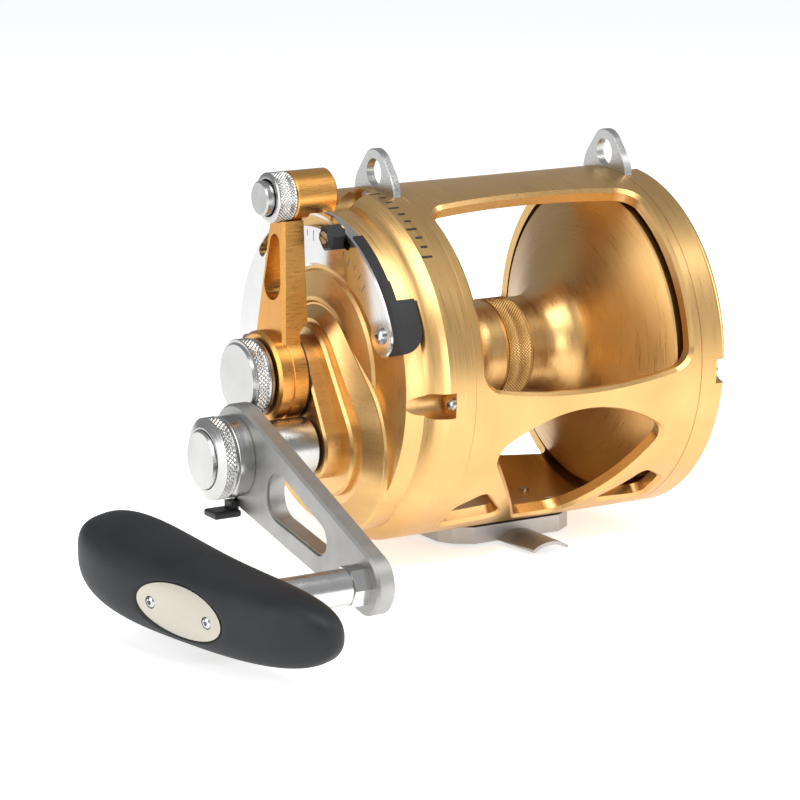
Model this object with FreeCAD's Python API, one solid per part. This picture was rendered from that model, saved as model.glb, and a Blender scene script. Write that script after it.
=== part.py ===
import FreeCAD, Part
import math
import os

# Two-speed lever-drag trolling reel, in millimetres.
# +Z is up, +X runs along the spool axis away from the handle, -Y points to the rod tip.
# The origin is on the rod-seat face under the foot, below the middle of the spool.
# Every piece is drawn about the spool axis first and lifted by axis_height when saved.

V = FreeCAD.Vector

# ---- driving dimensions ---------------------------------------------------------------
axis_height = 70.0          # spool axis above the rod-seat face
body_r = 65.0               # frame and side plates, outside
frame_wall = 5.0
frame_half = 49.3           # half the frame's length
left_end_x = 60.5           # outer face of the left side plate
shoulder_x = -60.0          # where the handle-side plate starts to round over
face_x = -74.0              # flat outer face of the handle-side plate
face_r = 58.0
window_half = 44.5          # half length of the big windows

gear_module = 1.0
pressure_angle = 25.0
low_pinion_teeth = 24
low_gear_teeth = 32
high_pinion_teeth = 14
high_gear_teeth = 42
handle_offset = gear_module * (low_pinion_teeth + low_gear_teeth) / 2
handle_bearing_angle = 149.5    # from straight up, towards the rod tip
low_x = (-62.2, -57.2)
high_x = (-69.2, -64.2)
shift_travel = 7.0

shaft_r = 4.95
lever_rest = 1.4            # lever angle in the stored pose
lever_head_r = 9.1
lever_head_up = 65.3
lever_hub_r = 16.8
lever_hub_x = (-101.3, -89.9)
quadrant_x = (-77.5, -74.0)
quadrant_r = (37.0, 58.8)
bumper_back_x = -67.4
bumper_r = 62.3
bumper_end = 75.0
stop_slot_r = (52.7, 57.0)
stop_angle = 18.7
quadrant_screw_r = 51.0
lobe_r = 7.9
quadrant_screw_angles = (66.3, -88.0)

arm_x = (-118.5, -111.5)
arm_length = 92.0
arm_droop = 17.0
sleeve_r = 10.8
cap_r = 15.2
post_r = 6.4
grip_face_x = -190.6
grip_half_length = 62.0
grip_offset = 1.4           # how far behind the post the grip's middle lies
grip_skew = 17.1
grip_dip = 5.1
grip_roll = -3.5
badge_half = (19.4, 8.9)
badge_depth = 2.8
badge_thick = 1.2
badge_bow_r = 30.0          # bowed across its width
badge_screw_y = 13.0
badge_seat = badge_depth + badge_thick - 0.05
badge_screw_r = 1.0
badge_head_r = 2.1
post_outer_x = -182.0

spool_flange_r = 57.5
spool_half = 47.0
arbor_r = 18.5
arbor_half = 12.0
flare_r = 17.0
flare_angle = 62.0
bearing_r = 11.0
running_gap = 0.06

pi = math.pi
handle_yz = (-handle_offset * math.sin(math.radians(handle_bearing_angle)),
             handle_offset * math.cos(math.radians(handle_bearing_angle)))
spool_yz = (0.0, 0.0)
droop = math.radians(arm_droop)
post_yz = (handle_yz[0] - arm_length * math.cos(droop),
           handle_yz[1] - arm_length * math.sin(droop))


# ---- helpers --------------------------------------------------------------------------
def save(name, shape):
    """Lift a piece onto the rod seat and write it."""
    lifted = shape.copy()
    lifted.translate(V(0, 0, axis_height))
    lifted.exportStep("parts/" + name + ".step")
    print(name, "valid" if shape.isValid() else "INVALID", len(shape.Solids), round(shape.Volume))


def rod(x0, x1, r, yz=spool_yz):
    return Part.makeCylinder(r, x1 - x0, V(x0, yz[0], yz[1]), V(1, 0, 0))


def tube(x0, x1, r_in, r_out, yz=spool_yz):
    return rod(x0, x1, r_out, yz).cut(rod(x0 - 1, x1 + 1, r_in, yz))


def box(x0, x1, y0, y1, z0, z1):
    return Part.makeBox(x1 - x0, y1 - y0, z1 - z0, V(x0, y0, z0))


def lathe(outline, yz=spool_yz):
    """Revolve an (x, r) outline about an axis along X. A 4-number entry is an arc: mid, end."""
    edges = []
    here = outline[0][-2:]
    for step in list(outline[1:]) + [outline[0][-2:]]:
        start = V(here[0], 0, here[1])
        end = V(step[-2], 0, step[-1])
        if len(step) == 4:
            edges.append(Part.Arc(start, V(step[0], 0, step[1]), end).toShape())
        elif start.distanceToPoint(end) > 1e-6:
            edges.append(Part.LineSegment(start, end).toShape())
        here = step[-2:]
    solid = Part.Face(Part.Wire(edges)).revolve(V(0, 0, 0), V(1, 0, 0), 360)
    solid.translate(V(0, yz[0], yz[1]))
    return solid


def turn(shape, degrees, yz=spool_yz):
    """Rotate about an axis along X; positive takes the top towards the rod tip."""
    return shape.rotated(V(0, yz[0], yz[1]), V(1, 0, 0), degrees)


def ring_of(shape, count, first=0.0, yz=spool_yz):
    return [turn(shape, first + 360.0 * k / count, yz) for k in range(count)]


def hull_wire(x, c1, r1, c2, r2):
    """Outline, in the plane x, of a belt around two circles."""
    gap = math.dist(c1, c2)
    lean = math.atan2(c2[1] - c1[1], c2[0] - c1[0])
    touch = math.acos((r1 - r2) / gap)

    def at(c, r, a):
        return V(x, c[0] + r * math.cos(a), c[1] + r * math.sin(a))
    far = Part.Arc(at(c1, r1, lean + touch), at(c1, r1, lean + pi), at(c1, r1, lean - touch))
    near = Part.Arc(at(c2, r2, lean - touch), at(c2, r2, lean), at(c2, r2, lean + touch))
    low = Part.LineSegment(at(c1, r1, lean - touch), at(c2, r2, lean - touch))
    high = Part.LineSegment(at(c2, r2, lean + touch), at(c1, r1, lean + touch))
    return Part.Wire([far.toShape(), low.toShape(), near.toShape(), high.toShape()])


def hull(x0, x1, c1, r1, c2, r2):
    return Part.Face(hull_wire(x0, c1, r1, c2, r2)).extrude(V(x1 - x0, 0, 0))


def nose(x0, x1, r_spool, r_handle):
    """Belt prism around the spool axis and the handle axis."""
    return hull(x0, x1, spool_yz, r_spool, handle_yz, r_handle)


def sector(x0, x1, r_in, r_out, start, end):
    """Part of a ring between two angles from straight up, towards the rod tip."""
    ring = Part.makeCylinder(r_out, x1 - x0, V(x0, 0, 0), V(1, 0, 0), end - start)
    ring = ring.cut(rod(x0 - 1, x1 + 1, r_in))
    return turn(ring, start)


def arc_slot(x0, x1, r_in, r_out, start, end):
    """Curved slot with round ends."""
    middle = (r_in + r_out) / 2
    half = (r_out - r_in) / 2
    slot = sector(x0, x1, r_in, r_out, start, end)
    end_hole = rod(x0, x1, half, (0, middle))
    return slot.fuse([turn(end_hole, start), turn(end_hole, end)])


def outline_cutter(points, corner_r, angle, bulges=()):
    """Radial punch at an angle round the frame.

    points are (x, s), with s measured round the frame from the given angle; bulges maps a
    side's number to the (x, s) that its arc passes through.
    """
    depth = body_r + 10
    corners = [V(x, -s, 0) for x, s in points]
    through = dict(bulges)
    edges = []
    for k, corner in enumerate(corners):
        after = corners[(k + 1) % len(corners)]
        if k in through:
            middle = V(through[k][0], -through[k][1], 0)
            edges.append(Part.Arc(corner, middle, after).toShape())
        else:
            edges.append(Part.LineSegment(corner, after).toShape())
    punch = Part.Face(Part.Wire(edges)).extrude(V(0, 0, depth))
    upright = [e for e in punch.Edges if abs(e.tangentAt(e.FirstParameter).z) > 0.99]
    return turn(punch.makeFillet(corner_r, upright), angle)


def rim_edges(shape, r, tolerance=0.02):
    """Edges that lie all along a cylinder of radius r about the spool axis."""
    found = []
    for edge in shape.Edges:
        ends = [edge.valueAt(edge.FirstParameter + t * (edge.LastParameter - edge.FirstParameter))
                for t in (0.0, 0.3, 0.5, 0.8, 1.0)]
        if all(abs(math.hypot(p.y, p.z) - r) < tolerance for p in ends):
            found.append(edge)
    return found


def angle_of(point):
    """Degrees from straight up, towards the rod tip."""
    return math.degrees(math.atan2(-point.y, point.z))


def end_edges(shape, x):
    """Edges that lie in the plane x."""
    found = []
    for edge in shape.Edges:
        if abs(edge.BoundBox.XMin - x) < 0.001 and abs(edge.BoundBox.XMax - x) < 0.001:
            found.append(edge)
    return found


def button_screw(x, direction, head_r, head_h, thread_r, length, yz):
    """Domed socket screw; direction is the way its head faces along X, x is the seat."""
    dome = [(0, 0), (0, head_r), (head_h * 0.45, head_r),
            (head_h * 0.85, head_r * 0.72, head_h, head_r * 0.45), (head_h, 0)]
    head = lathe(dome)
    socket = Part.Face(Part.makePolygon([
        V(head_h * 0.45, head_r * 0.42 * math.cos(k * pi / 3), head_r * 0.42 * math.sin(k * pi / 3))
        for k in range(7)])).extrude(V(head_h, 0, 0))
    screw = head.cut(socket).fuse(rod(-length, 0, thread_r)).removeSplitter()
    if direction < 0:
        screw = screw.rotated(V(0, 0, 0), V(0, 0, 1), 180)
    screw.translate(V(x, yz[0], yz[1]))
    return screw


def bearing(x0, x1, r_in, r_out, yz=spool_yz):
    """Ball bearing: one ring with a shield groove in each face."""
    middle = (r_in + r_out) / 2
    half = (r_out - r_in) / 4
    ring = tube(x0, x1, r_in, r_out, yz)
    for x in (x0, x1):
        ring = ring.cut(tube(x - 0.4, x + 0.4, middle - half, middle + half, yz))
    return ring


def involute(base_r, r):
    """Angle that an involute has turned through when it reaches radius r."""
    a = math.acos(base_r / r)
    return math.tan(a) - a


def gear(teeth, x0, x1, bore_r, yz, tooth_at, backlash=0.15):
    """Spur gear about an axis along X, with one tooth centred at the angle tooth_at."""
    pitch_r = gear_module * teeth / 2
    base_r = pitch_r * math.cos(math.radians(pressure_angle))
    tip_r = pitch_r + 0.8 * gear_module
    root_r = pitch_r - 1.05 * gear_module
    start_r = max(base_r * 1.0005, root_r + 0.05)
    half_pitch = (pi * gear_module / 2 - backlash / 2) / (2 * pitch_r)
    flank_r = [start_r + (tip_r - start_r) * k / 4 for k in range(5)]
    flank = [(r, half_pitch + involute(base_r, pitch_r) - involute(base_r, r)) for r in flank_r]

    def at(r, a):
        return V(x0, r * math.cos(a), r * math.sin(a))
    edges = []
    for k in range(teeth):
        middle = 2 * pi * k / teeth
        after = middle + 2 * pi / teeth
        rise = [at(r, middle - a) for r, a in flank]
        fall = [at(r, middle + a) for r, a in reversed(flank)]
        for side in (rise, fall):
            curve = Part.BSplineCurve()
            curve.interpolate(side)
            side.append(curve.toShape())
        tip_a = flank[-1][1]
        root_a = flank[0][1]
        tip = Part.Arc(at(tip_r, middle - tip_a), at(tip_r, middle), at(tip_r, middle + tip_a))
        floor_a = after - root_a
        down = Part.LineSegment(at(start_r, middle + root_a), at(root_r, middle + root_a))
        floor = Part.Arc(at(root_r, middle + root_a), at(root_r, middle + pi / teeth),
                         at(root_r, floor_a))
        up = Part.LineSegment(at(root_r, floor_a), at(start_r, floor_a))
        edges += [rise[-1], tip.toShape(), fall[-1], down.toShape(), floor.toShape(), up.toShape()]
    blank = Part.Face(Part.Wire(edges)).extrude(V(x1 - x0, 0, 0))
    blank = blank.cut(rod(x0 - 1, x1 + 1, bore_r))
    blank.rotate(V(0, 0, 0), V(1, 0, 0), math.degrees(tooth_at))
    blank.translate(V(0, yz[0], yz[1]))
    return blank


# ---- frame ----------------------------------------------------------------------------
def round_s(angle, about):
    """Distance round the frame, flattened onto the punch's plane."""
    return body_r * math.sin(math.radians(angle - about))


def window_cutters():
    upper = 28.0
    lower = 84.0
    leaf = 128.0
    small = 141.0
    window_top = outline_cutter(
        [(-window_half, round_s(23, upper)), (window_half, round_s(23, upper)),
         (window_half, round_s(70, upper)), (-window_half, round_s(70, upper))],
        8, upper, {0: (0, round_s(19.5, upper))})
    window_low = outline_cutter(
        [(-window_half, round_s(42, lower)), (window_half, round_s(42, lower)),
         (window_half, round_s(89, lower)), (-window_half, round_s(89, lower))],
        8, lower, {2: (0, round_s(93.6, lower))})
    leaf_hole = outline_cutter(
        [(-37, round_s(113, leaf)), (37, round_s(113, leaf)), (9, round_s(154, leaf)),
         (-9, round_s(154, leaf))], 6, leaf, {0: (0, round_s(101, leaf))})
    corners = [(45, 150), (45, 136), (35, 130), (19, 147)]
    cutters = [window_top, window_low, leaf_hole]
    for side in (-1, 1):
        cutters.append(outline_cutter([(side * x, round_s(a, small)) for x, a in corners],
                                      3.5, small))
    return cutters


def mirrored(shape):
    """The same shape on the rear of the reel."""
    return shape.mirror(V(0, 0, 0), V(0, 1, 0))


screw_ring_r = 62.4
pocket_half = 4.6
screw_angles = [3.2 + 90 * k for k in range(4)]
lug_thick = 3.2
lug_x = {"right": (-frame_half - lug_thick, -frame_half),
         "left": (frame_half, frame_half + lug_thick)}
lug_screw_angles = (-9.0, 10.5)


def make_frame():
    frame = tube(-frame_half, frame_half, body_r - frame_wall, body_r)
    for cutter in window_cutters():
        frame = frame.cut(cutter).cut(mirrored(cutter))
    ends = end_edges(frame, -frame_half) + end_edges(frame, frame_half)
    seams = [e for e in ends if e.BoundBox.ZMax > body_r - 0.1]
    frame = frame.makeChamfer(0.25, seams)
    openings = [e for e in rim_edges(frame, body_r) if e.BoundBox.XLength > 0.1]
    frame = frame.makeChamfer(1.4, openings)
    # flat under the frame for the foot
    frame = frame.cut(box(-30, 30, -18, 18, -body_r - 1, -63.6))
    for angle in screw_angles:
        frame = frame.cut(turn(rod(-frame_half - 1, -43, 1.5, (0, screw_ring_r)), angle))
        frame = frame.cut(turn(rod(43, frame_half + 1, 1.5, (0, screw_ring_r)), angle))
    for angle in lug_screw_angles:
        for side in (-1, 1):
            hole = rod(min(side * 44, side * 50), max(side * 44, side * 50), 1.25, (0, screw_ring_r))
            frame = frame.cut(turn(hole, angle))
    for x in (-20, 20):
        for y in (-9, 9):
            frame = frame.cut(Part.makeCylinder(2, 8, V(x, y, -66), V(0, 0, 1)))
    return frame


def lug_shape(side, grow=0.0):
    x0, x1 = lug_x[side]
    plate = hull(x0, x1, (0, 70.8), 8.7 + grow, (0, 62.0), 14.4 + grow)
    return plate.cut(rod(x0 - 1, x1 + 1, 60.0 - grow))


def make_lug(side):
    x0, x1 = lug_x[side]
    lug = lug_shape(side)
    lug = lug.makeChamfer(0.4, end_edges(lug, x0) + end_edges(lug, x1))
    lug = lug.cut(rod(x0 - 1, x1 + 1, 5.1, (0, 70.8)))
    lug = lug.cut(turn(rod(x0 - 1, x1 + 1, 1.6, (0, screw_ring_r)), screw_angles[0]))
    sink_x = x0 if side == "right" else x1 - 1.6
    for angle in lug_screw_angles:
        lug = lug.cut(turn(rod(x0 - 1, x1 + 1, 1.5, (0, screw_ring_r)), angle))
        lug = lug.cut(turn(rod(sink_x, sink_x + 1.6, 2.1, (0, screw_ring_r)), angle))
    return lug


def make_lug_screws():
    screws = []
    for side in ("right", "left"):
        facing = -1 if side == "right" else 1
        seat = lug_x[side][0] + 1.6 if side == "right" else lug_x[side][1] - 1.6
        for angle in lug_screw_angles:
            screw = button_screw(seat, facing, 2.0, 1.5, 1.25, 6.0, (0, screw_ring_r))
            screws.append(turn(screw, angle))
    return Part.makeCompound(screws)


# ---- handle-side plate and gear case ----------------------------------------------------
def plate_envelope():
    """Outside of the handle-side plate, filled solid."""
    return lathe([(-frame_half, 0), (-frame_half, body_r), (shoulder_x, body_r),
                  (-65.0, 62.6, -67.5, 59.8), (-71.5, 58.9, face_x, face_r),
                  (face_x, quadrant_r[0]), (-75.0, 36.0), (-76.6, 27.0), (-76.6, 0)])


def screw_pocket(x0, x1, floor_r):
    """Round-bottomed slot let into a plate's rim for a screw's head."""
    middle_r = floor_r + pocket_half
    channel = rod(x0, x1, pocket_half, (0, middle_r))
    return channel.fuse(box(x0, x1, -pocket_half, pocket_half, middle_r, body_r + 2))


def make_handle_side_plate():
    shell = plate_envelope()
    shell = shell.cut(lathe([(-40, 0), (-40, 60.0), (-56.4, 60.0), (-56.4, 56.5), (-66.0, 56.5),
                             (-69.8, 55.4, -71.0, 52.0), (-71.0, 0)]))
    shell = shell.cut(nose(-80, -60, 22.0, 27.0)).cut(nose(-80, lid_seat_x, 25.5, 33.0))
    pocket = screw_pocket(-80, -57.4, 57.8)
    for angle in screw_angles:
        shell = shell.cut(turn(pocket, angle))
        shell = shell.cut(turn(rod(-58, -40, 1.6, (0, screw_ring_r)), angle))
    shell = shell.cut(lug_shape("right", 0.15))
    for angle in quadrant_screw_angles:
        shell = shell.cut(turn(rod(-80, -72, 1.5, (0, quadrant_screw_r)), angle))
    for angle in bridge_screw_angles:
        shell = shell.cut(turn(rod(-60, -50, 1.3, (0, bridge_screw_r)), angle))
    for spot in case_screw_spots():
        shell = shell.cut(rod(-78, -68, 1.3, spot))
    stop_groove = arc_slot(-80, -73.0, stop_slot_r[0] - 0.4, stop_slot_r[1] + 0.4, -46, 25)
    return shell.cut(stop_groove)


lid_seat_x = -73.6


def case_screw_spots():
    """Screw positions (y, z): two beside the spool axis, two beside the handle axis."""
    spots = []
    for axis, r, angle in ((spool_yz, 23.8, -45.0), (spool_yz, 23.8, 45.0),
                           (handle_yz, 29.6, 60.0), (handle_yz, 29.6, 240.0)):
        a = math.radians(angle)
        spots.append((axis[0] - r * math.sin(a), axis[1] + r * math.cos(a)))
    return spots


def make_gear_case():
    base = nose(-76.0, -58, 25.5, 33.0)
    base = base.makeChamfer(0.8, end_edges(base, -76.0))
    base = base.cut(plate_envelope())
    lid = nose(-76.0, lid_seat_x, 25.5, 33.0)
    lid = lid.makeChamfer(0.8, end_edges(lid, -76.0))
    case = base.fuse(lid)
    bevel = Part.makeLoft([hull_wire(-76.0, spool_yz, 24.0, handle_yz, 31.5),
                           hull_wire(-79.4, spool_yz, 19.4, handle_yz, 22.6)], True, True)
    block = nose(-82.0, -74.0, 17.7, 19.5)
    block = block.makeChamfer(1.0, end_edges(block, -82.0))
    tip = nose(-88.6, -80.0, 13.5, 12.6)
    tip = tip.makeChamfer(0.8, end_edges(tip, -88.6))
    case = case.fuse([bevel, block, tip])
    hollow = nose(-79.0, -70, 14.0, 16.0).fuse(nose(-76.0, -70, 21.0, 26.0))
    case = case.cut(hollow)
    case = case.cut(rod(-90, -70, 9.0 + running_gap))
    case = case.cut(rod(-90, -70, 6.0, handle_yz))
    case = case.cut(rod(-88.0, -70, 10.0, handle_yz))
    for spot in case_screw_spots():
        case = case.cut(rod(-75.2, -70, 1.2, spot))
    for y, z, pin_r in dog_pivots():
        case = case.fuse(rod(-77.5, -70.6, pin_r, (y, z)))
    return case.removeSplitter()


def dog_pivots():
    """Pivot of each anti-reverse dog, as y, z and radius of its pin."""
    spots = []
    for angle in (70.0, 200.0):
        a = math.radians(angle)
        spots.append((handle_yz[0] - dog_reach * math.sin(a),
                      handle_yz[1] + dog_reach * math.cos(a), 1.5))
    return spots


dog_reach = 21.0
ratchet_x = (-73.4, -70.8)
ratchet_r = 14.5


def make_ratchet():
    """Saw-toothed wheel on the handle shaft."""
    teeth = 12
    points = []
    for k in range(teeth):
        a = 2 * pi * k / teeth
        points.append(V(ratchet_x[0], ratchet_r * math.cos(a), ratchet_r * math.sin(a)))
        points.append(V(ratchet_x[0], 11.5 * math.cos(a + 0.05), 11.5 * math.sin(a + 0.05)))
    wheel = Part.Face(Part.makePolygon(points + points[:1]))
    wheel = wheel.extrude(V(ratchet_x[1] - ratchet_x[0], 0, 0)).cut(rod(-80, -60, 5.0))
    wheel.translate(V(0, handle_yz[0], handle_yz[1]))
    return wheel


def make_dog(spot):
    """Pawl lying beside the ratchet, its tip just clear of the teeth."""
    y, z, pin_r = spot
    x0 = ratchet_x[0] + 0.2
    x1 = ratchet_x[1] - 0.2
    away = math.atan2(z - handle_yz[1], y - handle_yz[0])
    tip_a = away + 0.62
    tip_d = ratchet_r + 1.9
    tip = (handle_yz[0] + tip_d * math.cos(tip_a), handle_yz[1] + tip_d * math.sin(tip_a))
    return hull(x0, x1, (y, z), 3.0, tip, 1.2).cut(rod(x0 - 1, x1 + 1, pin_r + running_gap, (y, z)))


def make_case_screws():
    screws = [button_screw(-71.0, 1, 2.0, 1.5, 1.2, 4.0, spot) for spot in case_screw_spots()]
    return Part.makeCompound(screws)


bridge_x = (-56.4, -52.2)
bridge_screw_angles = (30.0, 150.0, 270.0)
bridge_screw_r = 57.4


def make_bridge():
    """Round inner plate that carries the inboard bearings."""
    bridge = rod(bridge_x[0], bridge_x[1], 59.8)
    bridge = bridge.cut(rod(-60, -50, 12.0)).cut(rod(-60, -50, 8.0, handle_yz))
    for angle in (20.0, 65.0, 250.0, 295.0, 340.0):
        bridge = bridge.cut(turn(rod(-60, -50, 9.0, (0, 36.0)), angle))
    for angle in bridge_screw_angles:
        bridge = bridge.cut(turn(rod(-60, -50, 1.4, (0, bridge_screw_r)), angle))
    return bridge


# ---- left side --------------------------------------------------------------------------
click_angle = -60.0
click_travel = 6.0
click_r = 38.0


def make_left_plate():
    shell = lathe([(frame_half, 0), (frame_half, body_r), (57.5, body_r),
                   (59.7, 64.5, left_end_x, 63.1), (left_end_x, 46.0), (left_end_x - 0.8, 45.0),
                   (left_end_x - 0.8, 19.0), (left_end_x, 18.0), (left_end_x, 0)])
    shell = shell.cut(lathe([(48, 0), (48, 59.0), (54.0, 59.0), (57.0, 56.0), (57.0, 0)]))
    shell = shell.fuse(rod(52.6, 58.0, 10.0))
    shell = shell.cut(rod(50, 59.0, shaft_r + running_gap))
    pocket = screw_pocket(56.0, 62, 58.6)
    for angle in screw_angles:
        shell = shell.cut(turn(pocket, angle))
        shell = shell.cut(turn(rod(48, 58, 1.6, (0, screw_ring_r)), angle))
    shell = shell.cut(lug_shape("left", 0.15))
    half = 2.6
    slot = box(50, 62, -half, half, click_r - click_travel, click_r)
    slot = slot.fuse([rod(50, 62, half, (0, click_r)), rod(50, 62, half, (0, click_r - click_travel))])
    shell = shell.cut(turn(slot, click_angle))
    shell = shell.cut(rod(59.0, 62, 13.0))
    return shell.removeSplitter()


def make_left_cap():
    cap = lathe([(59.0, 0), (59.0, 13.0), (61.4, 13.0), (62.2, 12.2), (62.2, 0)])
    return cap.cut(box(61.2, 63, -9.5, 9.5, -1.2, 1.2))


def make_click_button():
    button = lathe([(61.1, 0), (61.1, 5.0), (64.0, 5.0), (65.0, 4.0), (65.0, 0)], (0, click_r))
    for z in (-2.4, 0.0, 2.4):
        button = button.cut(box(64.4, 66, -6, 6, click_r + z - 0.4, click_r + z + 0.4))
    button = button.fuse(rod(53.0, 61.5, 2.4, (0, click_r)))
    return turn(button.removeSplitter(), click_angle)


def make_click_tongue():
    """Leaf behind the plate; its point drops between the click gear's teeth when slid in."""
    leaf = hull(50.6, 53.0, (0, click_r), 4.6, (0, 31.6), 1.2)
    return turn(leaf, click_angle)


# ---- quadrant, strike stop and end bumper --------------------------------------------------
def quadrant_lobe(grow):
    """Round front end of the quadrant, about its screw."""
    lobe = rod(quadrant_x[0], quadrant_x[1], lobe_r + grow, (0, quadrant_r[1] - lobe_r))
    return turn(lobe, quadrant_screw_angles[0])


def make_quadrant():
    r_in, r_out = quadrant_r
    x0, x1 = quadrant_x
    plate = sector(x0, x1, r_in, r_out, -95, quadrant_screw_angles[0])
    plate = plate.cut(rod(x0 - 1, x1 + 1, 42.0, (-5.0, -3.0)))
    plate = plate.fuse(quadrant_lobe(0.0)).removeSplitter()
    outer = [e for e in end_edges(plate, x0) if e.Length > 20]
    plate = plate.makeChamfer(0.9, outer)
    plate = plate.cut(arc_slot(x0 - 1, x1 + 1, stop_slot_r[0], stop_slot_r[1], -46, 25))
    for angle in quadrant_screw_angles:
        plate = plate.cut(turn(rod(x0 - 1, x1 + 1, 1.6, (0, quadrant_screw_r)), angle))
    return plate


def make_bumper():
    """Rubber stop round the front end of the quadrant."""
    gap = 0.05
    front_x = quadrant_x[0] + 0.2
    rim_r = quadrant_r[1] + gap
    thin = sector(front_x, -73.4, rim_r, 59.8, 27, 49)
    thick = sector(front_x, -73.4, rim_r, 60.6, 49, 58)
    block = sector(front_x, bumper_back_x, 52.0, bumper_r, 57, bumper_end)
    corner = [e for e in end_edges(block, bumper_back_x)
              if abs(angle_of(e.CenterOfMass) - bumper_end) < 1]
    block = block.makeFillet(8.5, corner)
    solid = block.fuse([thin, thick]).cut(plate_envelope())
    hollow = sector(front_x - 1, -73, 30, rim_r, 40, quadrant_screw_angles[0])
    return solid.cut(hollow).cut(quadrant_lobe(gap)).removeSplitter()


def hexagon(x0, x1, flats, yz, spin=0.0):
    r = flats / math.sqrt(3)
    corners = [V(x0, yz[0] + r * math.cos(spin + k * pi / 3), yz[1] + r * math.sin(spin + k * pi / 3))
               for k in range(7)]
    return Part.Face(Part.makePolygon(corners)).extrude(V(x1 - x0, 0, 0))


def make_strike_stop():
    middle = (stop_slot_r[0] + stop_slot_r[1]) / 2
    stop = hexagon(-83.4, -77.8, 9.0, (0, middle - 0.2), pi / 6)
    stop = stop.makeChamfer(0.9, end_edges(stop, -83.4))
    stop = stop.fuse(rod(-77.9, -73.3, 2.0, (0, middle)))
    stop = stop.cut(rod(-84, -81.6, 2.4, (0, middle))).cut(rod(-84, -74.5, 1.2, (0, middle)))
    return turn(stop.removeSplitter(), stop_angle)


def make_strike_screw():
    middle = (stop_slot_r[0] + stop_slot_r[1]) / 2
    screw = rod(-84.0, -81.6, 2.3, (0, middle)).fuse(rod(-81.6, -74.5, 1.2, (0, middle)))
    screw = screw.cut(box(-85, -83.3, -3, 3, middle - 0.35, middle + 0.35))
    return turn(screw.removeSplitter(), stop_angle)


# ---- drag lever -----------------------------------------------------------------------------
def make_lever():
    front, back = lever_hub_x
    hub = lathe([(front, 0), (front, 15.6), (front + 1.0, lever_hub_r), (-96.6, lever_hub_r),
                 (-96.2, 16.2), (-95.6, 16.2), (-95.2, lever_hub_r), (back, lever_hub_r),
                 (back, 0)])
    sides = Part.makePolygon([V(-99, -11.3, 8), V(-99, -5.0, 57), V(-99, 5.0, 57),
                              V(-99, 11.3, 8), V(-99, -11.3, 8)])
    arm = Part.Face(sides).extrude(V(16, 0, 0))
    profile = Part.makePolygon([V(-97.3, -20, 8), V(-94.0, -20, 60), V(-85.7, -20, 60),
                                V(-86.5, -20, 20.5), V(back, -20, 17.2), V(back, -20, 8),
                                V(-97.3, -20, 8)])
    arm = arm.common(Part.Face(profile).extrude(V(0, 40, 0)))
    front_sides = [e for e in arm.Edges if e.Length > 45 and e.BoundBox.XMax < -93]
    arm = arm.makeChamfer(1.1, front_sides)
    window = hull(-100, -80, (0, 33.8), 5.9, (0, 48.4), 3.5)
    head = lathe([(-90.0, 0), (-90.0, 8.6), (-89.5, lever_head_r), (-74.3, lever_head_r),
                  (-73.5, 8.3), (-73.5, 0)], (0, lever_head_up))
    arm = arm.cut(rod(-100, -90.0, lever_head_r + 0.15, (0, lever_head_up)))
    lever = hub.fuse([arm, head]).cut(window)
    lever = lever.cut(rod(-84.3, -72, 60.0))
    lever = lever.cut(rod(-103, -97.0, 9.5)).cut(rod(-98, -89, 9.0))
    lever = lever.cut(rod(-92, -86.0, 5.0, (0, lever_head_up)))
    lever = lever.cut(rod(-88, -75.5, 2.5 + running_gap, (0, lever_head_up)))
    return turn(lever.removeSplitter(), lever_rest)


def make_lever_collar():
    ring = lathe([(-98.0, 6.9), (-98.0, 8.3), (-97.3, lever_head_r), (-90.6, lever_head_r),
                  (-90.05, 8.5), (-90.05, 6.9)], (0, lever_head_up))
    return turn(ring, lever_rest)


def make_lever_cam():
    """Sleeve keyed into the lever's hub, with a stepped cam face at its inboard end."""
    cam = tube(-97.0, -81.5, shaft_r + 0.08, 9.0)
    for k in range(3):
        cam = cam.cut(sector(-83.0, -81.0, 7.0, 9.5, 120 * k, 120 * k + 55))
    return turn(cam, lever_rest)


def make_lever_seal():
    return lathe([(-89.85, 14.0), (-89.85, 16.2), (-89.3, 16.6, -88.9, 16.2), (-88.9, 14.0)])


def make_lever_button():
    face = lathe([(-101.3, 0), (-101.3, 5.7), (-100.7, 6.3), (-94.6, 6.3), (-94.6, 2.5),
                  (-78.5, 2.5), (-78.0, 2.0), (-78.0, 0)], (0, lever_head_up))
    return turn(face, lever_rest)


def make_button_spring():
    """Coil in the bottom of the button's bore, drawn at its pressed length."""
    turns = 3
    x0 = -91.4
    x1 = -86.8
    wire_r = 0.45
    coil_r = 3.9
    helix = Part.makeHelix((x1 - x0) / turns, x1 - x0, coil_r)
    section = Part.Wire(Part.Circle(V(coil_r, 0, 0), V(0, 1, 0), wire_r).toShape())
    spring = Part.Wire(helix).makePipeShell([section], True, True)
    spring.rotate(V(0, 0, 0), V(0, 1, 0), 90)
    spring.translate(V(x0, 0, lever_head_up))
    return turn(spring, lever_rest)


# ---- shaft, preset knob ---------------------------------------------------------------------
def make_shaft():
    shaft = rod(-102.0, 57.8, shaft_r)
    shaft = shaft.fuse(rod(-107.5, -102.0, 4.5))
    shaft = shaft.makeChamfer(0.6, end_edges(shaft, 57.8))
    return shaft.removeSplitter()


def make_preset_springs():
    """Belleville washers in facing pairs, which carry the preset."""
    washers = []
    x = -100.4
    for k in range(3):
        tilt = 0.35 if k % 2 == 0 else -0.35
        washers.append(lathe([(x - tilt / 2, shaft_r + 0.1), (x + tilt / 2, 8.4),
                              (x + tilt / 2 + 0.6, 8.4), (x - tilt / 2 + 0.6, shaft_r + 0.1)]))
        x += 1.02
    return Part.makeCompound(washers)


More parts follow.
